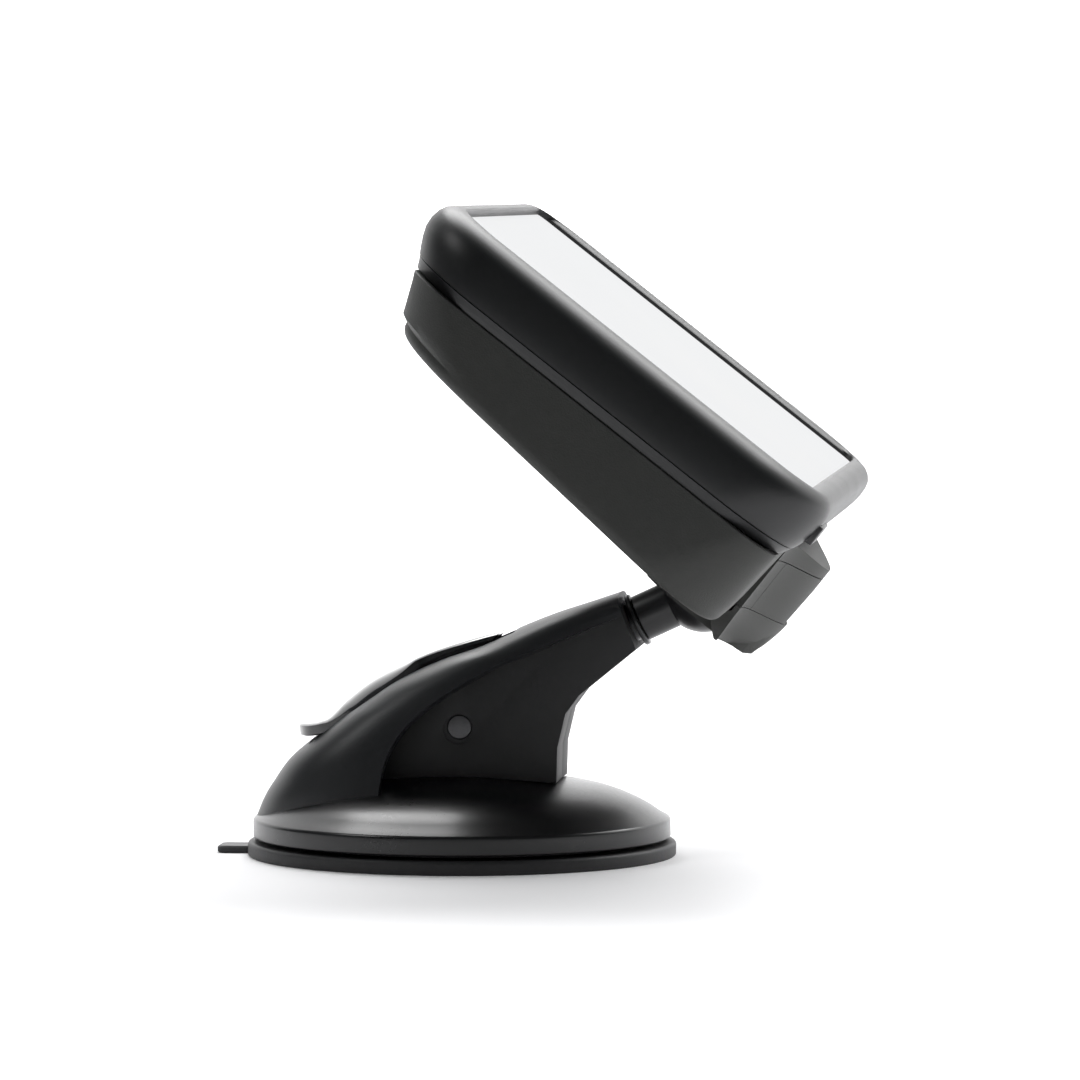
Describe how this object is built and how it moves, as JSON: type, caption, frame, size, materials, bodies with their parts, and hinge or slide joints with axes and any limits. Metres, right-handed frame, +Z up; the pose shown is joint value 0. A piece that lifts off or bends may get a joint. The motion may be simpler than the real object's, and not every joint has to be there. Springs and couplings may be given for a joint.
{
  "type": "radar detector",
  "caption": "Windscreen radar detector: a wide screen unit on a ball joint, an arm with a locking lever and a suction base.",
  "frame": {"origin": "middle of the suction cup's contact plane", "axes": "+Z up from the contact plane, +X the way the screen faces, Y along the screen's width"},
  "size_m": [0.1027, 0.129, 0.1054],
  "materials": {
    "cup_rubber": "matt black moulded rubber",
    "inner_plastic": "plain moulded",
    "steel": "zinc plated",
    "dome_gloss": "satin to gloss black",
    "web_matte": "matt fine texture",
    "black_screw": "black oxide",
    "cover_satin": "satin black with a fine grain",
    "lever_gloss": "gloss black",
    "pin_steel": "dark grey satin",
    "stud_plastic": "semi-gloss black",
    "seat_plastic": "natural acetal",
    "housing_texture": "fine spark texture, dark olive grey",
    "soft_touch": "soft-touch black paint",
    "display_glass": "clear cover glass",
    "lcd_white": "lit plain white screen",
    "frame_alloy": "plain sheet",
    "circuit_board": "green solder mask",
    "shield_tin": "tinned steel",
    "lens_red": "dark red infrared window",
    "ceramic": "ceramic patch",
    "cell_foil": "foil pouch",
    "button_plastic": "satin black"
  },
  "bodies": {
    "base": {"suction_cup": "cup_rubber", "return_spring": "steel", "base_dome": "dome_gloss", "dome_screws": "steel", "arm_web_left": "web_matte", "arm_web_right": "web_matte", "arm_screws": "black_screw", "arm_cover": "cover_satin", "lever_pin": "pin_steel", "ball_stud": "stud_plastic", "stud_collar": "stud_plastic", "stud_pin": "steel"},
    "lever": {"lever": "lever_gloss"},
    "rod": {"pull_rod": "steel", "cup_core": "inner_plastic"},
    "tilt_step": {"pressure_pad": "seat_plastic"},
    "lean_step": {"ball_seat": "seat_plastic"},
    "screen_unit": {"socket_cap": "stud_plastic", "cap_screws": "black_screw", "rear_housing": "housing_texture", "end_panel": "housing_texture", "front_shell": "soft_touch", "display_glass": "display_glass", "lcd_panel": "lcd_white", "mid_frame": "frame_alloy", "main_board": "circuit_board", "rf_shield": "shield_tin", "horn_antenna": "frame_alloy", "laser_lens": "lens_red", "laser_sensor": "inner_plastic", "gps_antenna": "ceramic", "battery": "cell_foil", "speaker": "inner_plastic", "speaker_gasket": "cup_rubber", "power_socket": "inner_plastic", "button_switch": "shield_tin", "housing_screws": "black_screw"},
    "button": {"power_button": "button_plastic"}
  },
  "joints": [
    {"name": "lever_swing", "type": "hinge", "parent": "base", "child": "lever", "pos_m": [0.00055, 0, 0.0214], "axis": [0, 1, 0], "range_deg": [0, 45]},
    {"name": "rod_travel", "type": "slide", "parent": "base", "child": "rod", "axis": [0, 0, -1], "range_m": [0, 0.00154], "deforming": ["return_spring", "suction_cup"]},
    {"name": "head_tilt", "type": "hinge", "parent": "base", "child": "tilt_step", "pos_m": [0.0395, 0, 0.0435], "axis": [0, 1, 0], "range_deg": [-3, 56]},
    {"name": "head_lean", "type": "hinge", "parent": "tilt_step", "child": "lean_step", "pos_m": [0.0395, 0, 0.0435], "axis": [0.7859, 0, -0.6184], "range_deg": [-14, 14]},
    {"name": "head_swivel", "type": "hinge", "parent": "lean_step", "child": "screen_unit", "pos_m": [0.0395, 0, 0.0435], "axis": [0.6184, 0, 0.7859], "range_deg": [-90, 90]},
    {"name": "button_press", "type": "slide", "parent": "screen_unit", "child": "button", "axis": [-0.7859, 0, 0.6184], "range_m": [0, 0.0008], "stiffness_N_per_m": 1500, "springref_m": -0.0002}
  ],
  "couplings": [
    {"joint": "rod_travel", "follows": "lever_swing", "m_per_rad": 0.00195}
  ]
}
